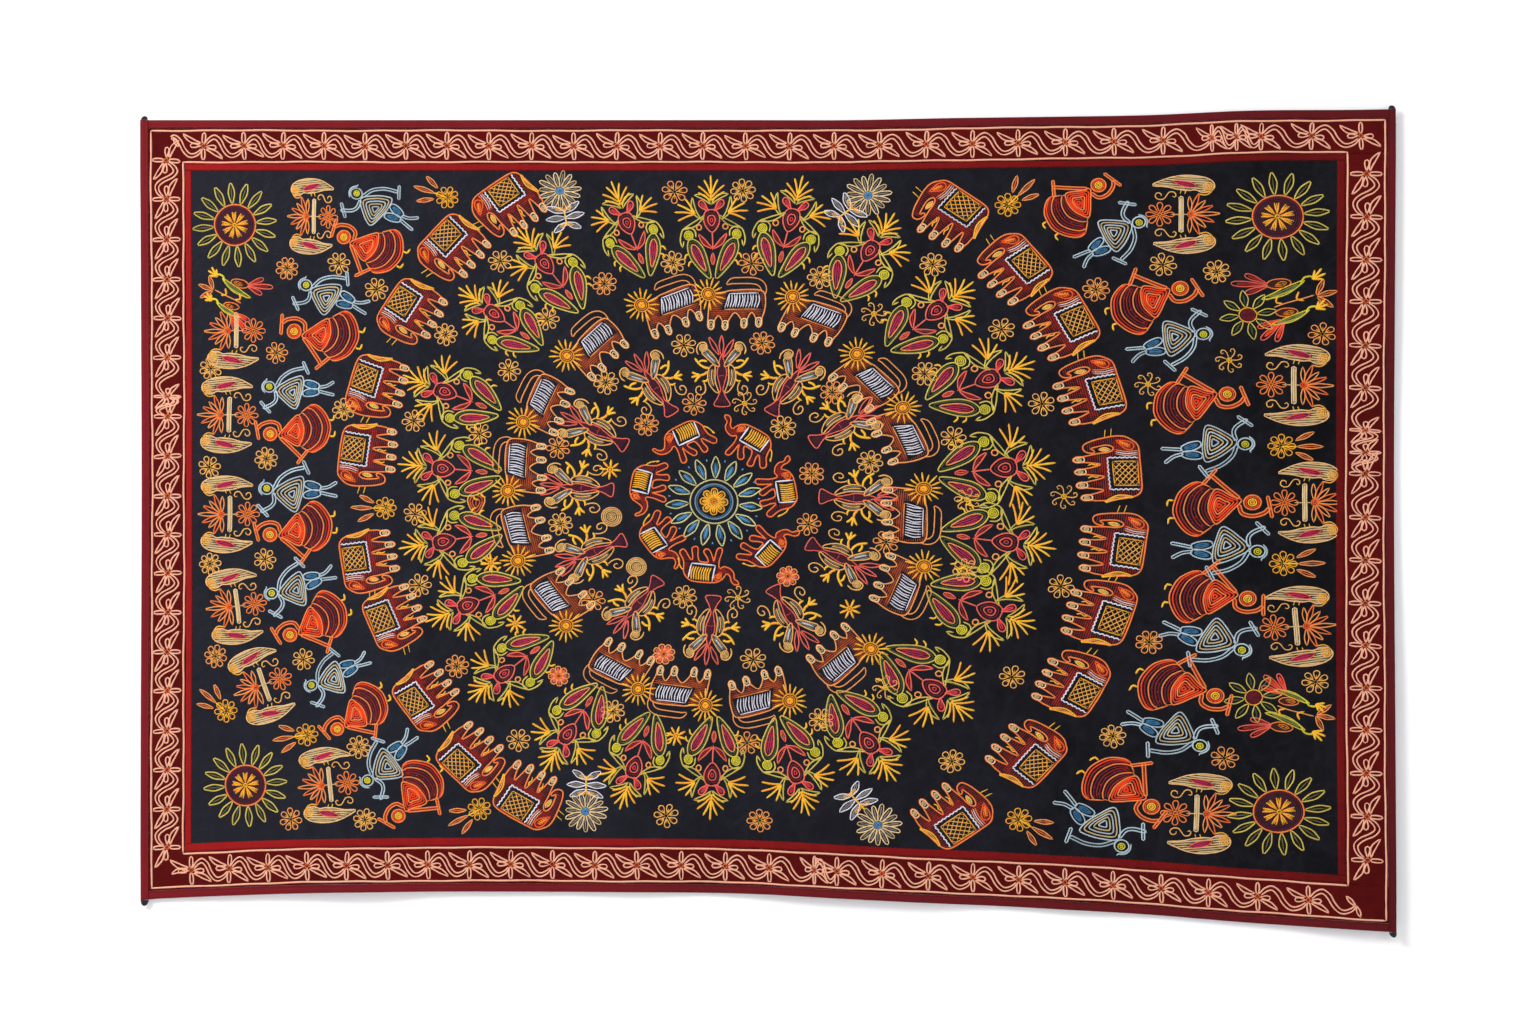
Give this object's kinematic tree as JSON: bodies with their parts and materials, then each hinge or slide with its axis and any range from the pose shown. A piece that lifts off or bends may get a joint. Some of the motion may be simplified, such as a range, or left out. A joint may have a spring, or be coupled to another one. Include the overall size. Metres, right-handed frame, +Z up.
{
  "type": "embroidered wall hanging",
  "caption": "Large embroidered cloth wall hanging: a black ground panel in a red strip, a maroon vine border and a folded edge binding, hanging flat with soft packing folds.",
  "frame": {"origin": "middle of the top hem, on the cloth's own plane, where it is held up", "axes": "+Z up, +X to the right as seen from the front, and the front faces -Y"},
  "size_m": [1.52, 0.0143, 1.0066],
  "materials": {
    "ground_cloth": "matt black cotton covered with coloured chain stitch",
    "strip_cloth": "matt red cotton strip",
    "border_cloth": "matt maroon cotton with a cream chain stitch vine",
    "binding_cloth": "folded maroon cotton binding, slightly sheeny along its fold",
    "corner_cloth": "matt black cotton",
    "stitch_thread": "coloured cotton chain stitch thread with a soft sheen",
    "border_thread": "cream chain stitch thread of the border vine"
  },
  "bodies": {
    "root": {"ground_panel": "ground_cloth", "strip_top": "strip_cloth", "strip_bottom": "strip_cloth", "strip_left": "strip_cloth", "strip_right": "strip_cloth", "border_top": "border_cloth", "border_bottom": "border_cloth", "border_left": "border_cloth", "border_right": "border_cloth", "binding_top": "binding_cloth", "binding_bottom": "binding_cloth", "binding_left": "binding_cloth", "binding_right": "binding_cloth", "corner_end_top_left": "corner_cloth", "corner_end_top_right": "corner_cloth", "corner_end_bottom_left": "corner_cloth", "corner_end_bottom_right": "corner_cloth"}
  },
  "joints": []
}
